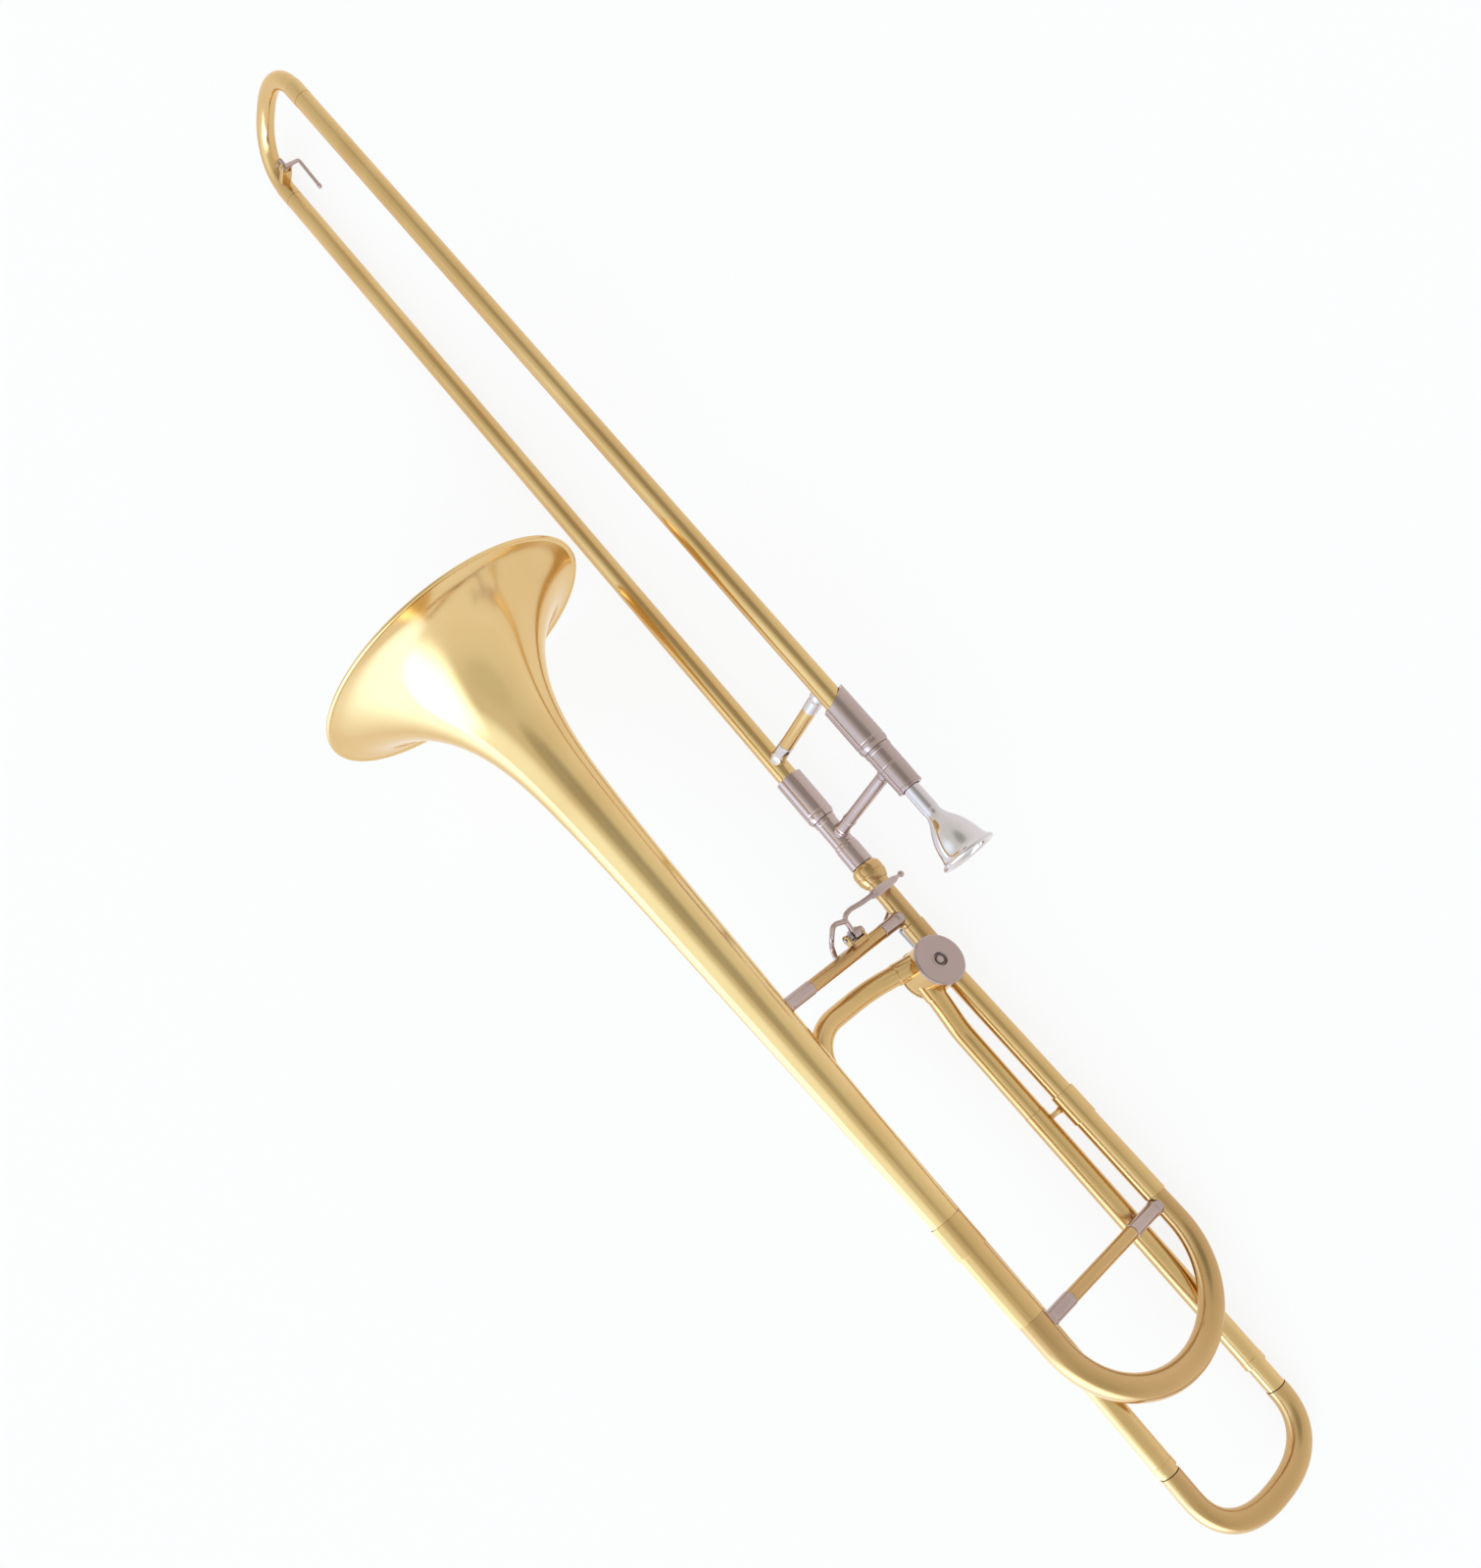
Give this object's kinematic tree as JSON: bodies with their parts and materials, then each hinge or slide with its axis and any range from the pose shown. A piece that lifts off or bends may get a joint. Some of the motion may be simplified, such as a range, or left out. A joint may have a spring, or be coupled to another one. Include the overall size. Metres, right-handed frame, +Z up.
{
  "type": "tenor trombone",
  "caption": "Lying tenor trombone with a thumb-operated rotary valve loop, hand slide, two tuning slides, bell and mouthpiece.",
  "frame": {"origin": "centre of the footprint's bounding box on the floor, with the instrument lying on its bell rim, its slide bow and its F slide's bow", "axes": "+Z up; +X forward along the instrument, from the tuning bows towards the hand slide's bow, 1.06 degrees from the neck tube's own axis; +Y completes a right-handed set, towards the bell side"},
  "size_m": [1.235, 0.3052, 0.2159],
  "materials": {
    "lacquered_brass": "clear lacquer, polished",
    "nickel_silver": "lacquered nickel silver, polished",
    "silver_plate": "bright silver plate",
    "steel": "bright",
    "cork": "plain cork"
  },
  "bodies": {
    "bell_section": {"bell": "lacquered_brass", "bell_ferrule": "lacquered_brass", "bell_side_sleeve": "lacquered_brass", "bell_brace_end_a": "nickel_silver", "bell_brace_end_b": "nickel_silver", "bell_brace_rod": "lacquered_brass", "valve_casing": "lacquered_brass", "valve_cap": "nickel_silver", "valve_back_plate": "lacquered_brass", "neck_pipe": "lacquered_brass", "neck_tube": "lacquered_brass", "neck_ferrule": "lacquered_brass", "neck_side_sleeve": "lacquered_brass", "f_leg_tube": "lacquered_brass", "f_leg_sleeve": "lacquered_brass", "f_return_tube": "lacquered_brass", "f_return_sleeve": "lacquered_brass", "f_stay": "lacquered_brass", "lever_pin": "steel", "lever_saddle": "lacquered_brass", "lever_spring": "steel", "slide_connector": "nickel_silver", "cork_barrel_upper": "nickel_silver", "cork_barrel_lower": "nickel_silver", "mouthpiece_receiver": "nickel_silver", "inner_tube_upper": "nickel_silver", "inner_tube_lower": "nickel_silver", "bumper_upper": "cork", "bumper_lower": "cork", "leadpipe": "lacquered_brass", "inner_brace": "nickel_silver"},
    "tuning_slide": {"tuning_bow": "lacquered_brass", "tuning_leg_neck": "nickel_silver", "tuning_leg_bell": "nickel_silver", "tuning_brace_end_a": "nickel_silver", "tuning_brace_end_b": "nickel_silver", "tuning_brace_rod": "lacquered_brass"},
    "f_slide": {"f_bow": "lacquered_brass", "f_inner_leg_a": "nickel_silver", "f_inner_leg_b": "nickel_silver"},
    "hand_slide": {"outer_tube_upper": "lacquered_brass", "outer_tube_lower": "lacquered_brass", "slide_bow": "lacquered_brass", "outer_brace_end_a": "silver_plate", "outer_brace_end_b": "silver_plate", "outer_brace_rod": "lacquered_brass", "water_key_saddle": "nickel_silver", "water_key_pin": "steel", "water_key_spring": "steel"},
    "water_key": {"water_key_lever": "nickel_silver", "water_key_cork": "cork"},
    "thumb_key": {"thumb_lever": "nickel_silver"},
    "valve_rotor": {"rotor": "lacquered_brass", "stop_arm": "nickel_silver"},
    "valve_link": {"link_rod": "steel"},
    "slide_nut": {"lock_nut": "lacquered_brass"},
    "mouthpiece_body": {"mouthpiece": "silver_plate"}
  },
  "joints": [
    {"name": "hand_slide_travel", "type": "slide", "parent": "bell_section", "child": "hand_slide", "axis": [0.9993, -0.0361, -0.0115], "range_m": [0, 0.57]},
    {"name": "tuning_slide_travel", "type": "slide", "parent": "bell_section", "child": "tuning_slide", "axis": [-0.9998, 0, -0.0185], "range_m": [0, 0.045]},
    {"name": "f_slide_travel", "type": "slide", "parent": "bell_section", "child": "f_slide", "axis": [-0.9993, 0.014, -0.0354], "range_m": [0, 0.08]},
    {"name": "thumb_lever_hinge", "type": "hinge", "parent": "bell_section", "child": "thumb_key", "pos_m": [-0.19972, -0.02549, 0.04839], "axis": [-0.0118, 0.7701, 0.6378], "range_deg": [0, 30], "stiffness_Nm_per_rad": 0.06, "springref_deg": -20.05},
    {"name": "rotor_spin", "type": "hinge", "parent": "bell_section", "child": "valve_rotor", "pos_m": [-0.24717, -0.04889, 0.02371], "axis": [-0.0142, -0.6379, 0.77], "range_deg": [-90, 0]},
    {"name": "link_travel", "type": "slide", "parent": "bell_section", "child": "valve_link", "axis": [-0.9998, 0, -0.0185], "range_m": [0, 0.00859]},
    {"name": "lock_nut_turn", "type": "hinge", "parent": "bell_section", "child": "slide_nut", "pos_m": [-0.17286, -0.0596, 0.01622], "axis": [0.9993, -0.0361, -0.0115], "continuous": true},
    {"name": "mouthpiece_draw", "type": "slide", "parent": "bell_section", "child": "mouthpiece_body", "axis": [-0.9993, 0.0361, 0.0115], "range_m": [0, 0.045]},
    {"name": "water_key_hinge", "type": "hinge", "parent": "hand_slide", "child": "water_key", "pos_m": [0.57581, -0.09945, 0.02303], "axis": [-0.0351, -0.7693, -0.638], "range_deg": [0, 18], "stiffness_Nm_per_rad": 0.02, "springref_deg": -20.05}
  ],
  "couplings": [
    {"joint": "rotor_spin", "follows": "thumb_lever_hinge", "ratio": -3},
    {"joint": "link_travel", "follows": "thumb_lever_hinge", "m_per_rad": 0.016206}
  ]
}
